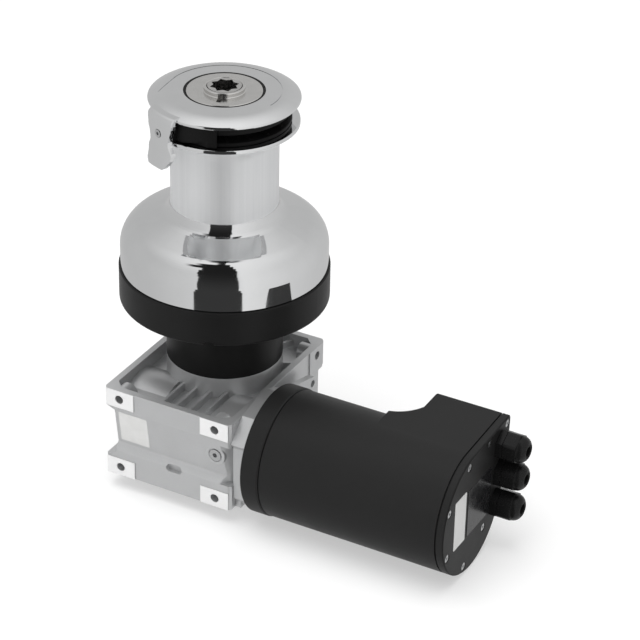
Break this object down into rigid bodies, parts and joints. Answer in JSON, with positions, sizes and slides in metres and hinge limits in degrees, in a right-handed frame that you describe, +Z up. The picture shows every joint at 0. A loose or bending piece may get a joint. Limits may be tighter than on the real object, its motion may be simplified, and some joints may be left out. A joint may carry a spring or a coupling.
{
  "type": "electric sailboat winch",
  "caption": "Electric self-tailing deck winch with a black base ring, a polished drum, a worm gearbox under the deck and a cylindrical motor with cable glands.",
  "frame": {"origin": "centre of the underside of the winch base, where it lies on the deck", "axes": "+Z up the winch axis, +X along the motor axis from the gearbox to the cable glands"},
  "size_m": [0.3887, 0.1997, 0.3648],
  "materials": {
    "polished_aluminium": "polished",
    "nickel_plate": "satin nickel plating",
    "black_plastic": "fine matt",
    "black_paint": "satin black paint",
    "bare_casting": "silver-grey painted casting",
    "cast_aluminium": "as cast",
    "machined_steel": "ground",
    "bronze": "machined bronze",
    "copper_wire": "enamelled copper",
    "seal_rubber": "matt",
    "circuit_board": "lacquered board"
  },
  "bodies": {
    "frame": {"self_tailing_arm": "polished_aluminium", "arm_screw": "machined_steel", "rope_stripper": "black_plastic", "top_cap": "nickel_plate", "cap_seal_ring": "seal_rubber", "idler_pins": "machined_steel", "centre_stem": "cast_aluminium", "upper_shaft_bush": "bronze", "lower_shaft_bush": "bronze", "upper_bearing_cage": "bronze", "upper_bearing_rollers": "machined_steel", "lower_bearing_cage": "bronze", "lower_bearing_rollers": "machined_steel", "thrust_washer": "black_plastic", "winch_base": "black_paint", "deck_collar": "black_paint", "collar_bolts": "machined_steel", "gearbox_housing": "bare_casting", "gearbox_cover": "bare_casting", "cover_screws": "machined_steel", "wheel_bearings": "machined_steel", "oil_seals": "seal_rubber", "worm_bearings": "machined_steel", "worm_end_cap": "cast_aluminium", "oil_plug": "machined_steel", "motor_adapter": "bare_casting", "adapter_screws": "machined_steel", "motor_flange": "black_paint", "motor_housing": "black_paint", "motor_stator": "machined_steel", "motor_windings": "copper_wire", "motor_bearings": "machined_steel", "rear_bearing_plate": "cast_aluminium", "controller_board": "circuit_board", "end_cover": "black_paint", "end_cover_screws": "machined_steel", "gland_bodies": "black_plastic", "gland_nuts": "black_plastic", "gland_seals": "seal_rubber"},
    "drum": {"drum": "polished_aluminium", "drum_ring_gear": "machined_steel", "upper_jaw": "black_plastic", "jaw_screws": "machined_steel", "jaw_spring": "machined_steel"},
    "lower_jaw": {"lower_jaw": "black_plastic"},
    "spindle": {"main_shaft": "machined_steel", "shaft_pinion": "machined_steel", "pinion_key": "machined_steel"},
    "idler_left": {"idler_gear_left": "machined_steel"},
    "idler_right": {"idler_gear_right": "machined_steel"},
    "output_shaft": {"wheel_shaft": "machined_steel", "worm_wheel": "bronze", "wheel_bearing_inner_rings": "machined_steel", "clutch_cup": "machined_steel", "clutch_rollers": "machined_steel"},
    "rotor": {"worm_shaft": "machined_steel", "worm_bearing_inner_rings": "machined_steel", "rotor_core": "machined_steel", "motor_shaft": "machined_steel", "motor_bearing_inner_rings": "machined_steel"}
  },
  "joints": [
    {"name": "drum_spin", "type": "hinge", "parent": "frame", "child": "drum", "pos_m": [0, 0, 0.1], "axis": [0, 0, 1], "continuous": true},
    {"name": "lower_jaw_slide", "type": "slide", "parent": "drum", "child": "lower_jaw", "axis": [0, 0, 1], "range_m": [-0.002, 0], "stiffness_N_per_m": 1500, "deforming": ["jaw_spring"]},
    {"name": "spindle_spin", "type": "hinge", "parent": "frame", "child": "spindle", "pos_m": [0, 0, 0.04], "axis": [0, 0, 1], "continuous": true},
    {"name": "idler_left_spin", "type": "hinge", "parent": "frame", "child": "idler_left", "pos_m": [-0.036, 0, 0.045], "axis": [0, 0, 1], "continuous": true},
    {"name": "idler_right_spin", "type": "hinge", "parent": "frame", "child": "idler_right", "pos_m": [0.036, 0, 0.045], "axis": [0, 0, 1], "continuous": true},
    {"name": "motor_spin", "type": "hinge", "parent": "frame", "child": "rotor", "pos_m": [0.1, -0.05, -0.1073], "axis": [1, 0, 0], "continuous": true},
    {"name": "output_spin", "type": "hinge", "parent": "frame", "child": "output_shaft", "pos_m": [0, 0, -0.1073], "axis": [0, 0, 1], "continuous": true}
  ],
  "couplings": [
    {"joint": "spindle_spin", "follows": "drum_spin", "ratio": -2.6},
    {"joint": "idler_left_spin", "follows": "drum_spin", "ratio": 3.25},
    {"joint": "idler_right_spin", "follows": "drum_spin", "ratio": 3.25},
    {"joint": "output_spin", "follows": "motor_spin", "ratio": -0.026316}
  ]
}
